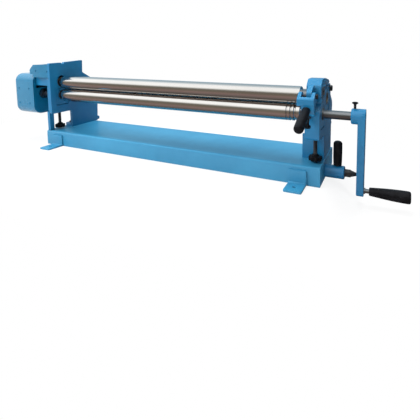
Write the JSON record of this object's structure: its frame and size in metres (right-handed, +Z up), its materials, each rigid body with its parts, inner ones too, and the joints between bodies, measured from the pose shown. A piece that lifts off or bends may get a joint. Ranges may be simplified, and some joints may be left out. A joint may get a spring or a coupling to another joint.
{
  "type": "slip roll machine",
  "caption": "Hand cranked slip roll: polished rolls between cast side frames on a long folded steel base, with screw adjusted bearings and a swing open latch that frees the top roll",
  "frame": {"origin": "on the plane of the feet's undersides, at the centre of the four foot bolt holes", "axes": "+X along the rolls towards the crank, +Y to the rear, +Z up"},
  "size_m": [2.0335, 0.5571, 0.4837],
  "materials": {
    "base_paint": "gloss blue enamel on folded sheet",
    "casting_paint": "gloss blue enamel on castings",
    "cover_paint": "gloss blue enamel on thin sheet",
    "roll_steel": "ground and polished",
    "black_steel": "black oxide",
    "black_plastic": "moulded, satin",
    "block_iron": "machined",
    "bush_bronze": "oiled bearing bronze"
  },
  "bodies": {
    "machine_frame": {"base_channel": "base_paint", "base_ends": "base_paint", "front_foot_left": "base_paint", "front_foot_right": "base_paint", "rear_foot_left": "base_paint", "rear_foot_right": "base_paint", "right_frame": "casting_paint", "left_frame": "casting_paint", "front_post": "casting_paint", "lock_nuts": "black_steel", "tail_bracket": "black_steel", "gear_cover": "cover_paint", "tail_hood": "cover_paint", "cover_carrier": "cover_paint", "cover_screws": "black_steel", "hinge_bolt": "black_steel", "lever_stud": "black_steel", "frame_bolts": "black_steel"},
    "front_bearings": {"front_block_left": "casting_paint", "front_bush_left": "bush_bronze", "front_block_right": "casting_paint", "front_bush_right": "bush_bronze"},
    "front_adjuster_left": {"front_screw_left": "black_steel", "front_knob_left": "black_plastic"},
    "front_adjuster_right": {"front_screw_right": "black_steel", "front_knob_right": "black_plastic"},
    "front_roll_set": {"front_roll": "roll_steel", "front_gear": "block_iron", "shaft_collar": "roll_steel", "crank_arm": "casting_paint", "crank_pin": "roll_steel", "thumb_screw": "black_steel"},
    "crank_handle": {"crank_grip": "black_plastic"},
    "rear_bearings": {"rear_block_left": "casting_paint", "rear_bush_left": "bush_bronze", "rear_block_right": "casting_paint", "rear_bush_right": "bush_bronze"},
    "rear_adjuster_left": {"rear_screw_left": "black_steel", "rear_knob_left": "black_plastic"},
    "rear_adjuster_right": {"rear_screw_right": "black_steel", "rear_knob_right": "black_plastic"},
    "rear_roll_set": {"rear_roll": "roll_steel"},
    "top_swivel": {"tail_quill": "roll_steel", "quill_pins": "roll_steel", "quill_bushes": "bush_bronze"},
    "top_roll_set": {"top_roll": "roll_steel", "top_gear": "block_iron"},
    "latch_arm_set": {"latch_arm": "casting_paint", "half_bearing": "roll_steel"},
    "latch_fork_set": {"latch_fork": "casting_paint", "fork_pin": "black_steel", "latch_grip": "black_plastic", "latch_lock_nut": "black_steel"},
    "latch_screw_set": {"latch_screw": "black_steel", "latch_knob": "black_plastic"},
    "side_lever": {"lever_hub": "casting_paint", "lever_rod": "roll_steel", "lever_grip": "black_plastic"}
  },
  "joints": [
    {"name": "front_height_slide", "type": "slide", "parent": "machine_frame", "child": "front_bearings", "axis": [0, 0, 1], "range_m": [-0.0037, 0.0005]},
    {"name": "front_roll_spin", "type": "hinge", "parent": "front_bearings", "child": "front_roll_set", "pos_m": [0, -0.0885, 0.2695], "axis": [1, 0, 0], "continuous": true},
    {"name": "crank_handle_spin", "type": "hinge", "parent": "front_roll_set", "child": "crank_handle", "pos_m": [0.978, -0.0885, -0.0075], "axis": [1, 0, 0], "continuous": true},
    {"name": "front_screw_turn_left", "type": "hinge", "parent": "front_bearings", "child": "front_adjuster_left", "pos_m": [-0.708, -0.0885, 0.09], "axis": [0, 0, 1], "range_deg": [-725, 95]},
    {"name": "front_screw_turn_right", "type": "hinge", "parent": "front_bearings", "child": "front_adjuster_right", "pos_m": [0.7105, -0.0885, 0.09], "axis": [0, 0, 1], "range_deg": [-725, 95]},
    {"name": "rear_slope_slide", "type": "slide", "parent": "machine_frame", "child": "rear_bearings", "axis": [0, -0.7547, 0.6561], "range_m": [-0.0135, 0.002]},
    {"name": "rear_roll_spin", "type": "hinge", "parent": "rear_bearings", "child": "rear_roll_set", "pos_m": [0, -0.0015, 0.3175], "axis": [1, 0, 0], "continuous": true},
    {"name": "rear_screw_turn_left", "type": "hinge", "parent": "rear_bearings", "child": "rear_adjuster_left", "pos_m": [-0.717, 0.11171, 0.21909], "axis": [0, -0.7547, 0.6561], "range_deg": [-2525, 365]},
    {"name": "rear_screw_turn_right", "type": "hinge", "parent": "rear_bearings", "child": "rear_adjuster_right", "pos_m": [0.7105, 0.11171, 0.21909], "axis": [0, -0.7547, 0.6561], "range_deg": [-2525, 365]},
    {"name": "latch_arm_swing", "type": "hinge", "parent": "machine_frame", "child": "latch_arm_set", "pos_m": [0.7105, 0.0595, 0.3515], "axis": [-1, 0, 0], "range_deg": [0, 105]},
    {"name": "latch_fork_swing", "type": "hinge", "parent": "latch_arm_set", "child": "latch_fork_set", "pos_m": [0.7015, -0.1635, 0.3465], "axis": [-1, 0, 0], "range_deg": [-2, 100]},
    {"name": "latch_screw_turn", "type": "hinge", "parent": "latch_fork_set", "child": "latch_screw_set", "pos_m": [0.7015, -0.1695, 0.29435], "axis": [0, 0.4848, 0.8746], "continuous": true},
    {"name": "top_roll_tilt", "type": "hinge", "parent": "machine_frame", "child": "top_swivel", "pos_m": [-0.8365, -0.0885, 0.339], "axis": [0, -1, 0], "range_deg": [0, 2.8]},
    {"name": "top_roll_spin", "type": "hinge", "parent": "top_swivel", "child": "top_roll_set", "pos_m": [-0.8365, -0.0885, 0.339], "axis": [1, 0, 0], "continuous": true},
    {"name": "side_lever_swing", "type": "hinge", "parent": "machine_frame", "child": "side_lever", "pos_m": [0.79, -0.0435, 0.034], "axis": [1, 0, 0], "range_deg": [-100, 100]}
  ],
  "couplings": [
    {"joint": "top_roll_spin", "follows": "front_roll_spin", "ratio": -1},
    {"joint": "top_roll_tilt", "follows": "latch_arm_swing", "ratio": 0.026667},
    {"joint": "front_screw_turn_left", "follows": "front_height_slide", "rad_per_m": 3141.6},
    {"joint": "front_screw_turn_right", "follows": "front_height_slide", "rad_per_m": 3141.6},
    {"joint": "rear_screw_turn_left", "follows": "rear_slope_slide", "rad_per_m": 3141.6},
    {"joint": "rear_screw_turn_right", "follows": "rear_slope_slide", "rad_per_m": 3141.6}
  ]
}
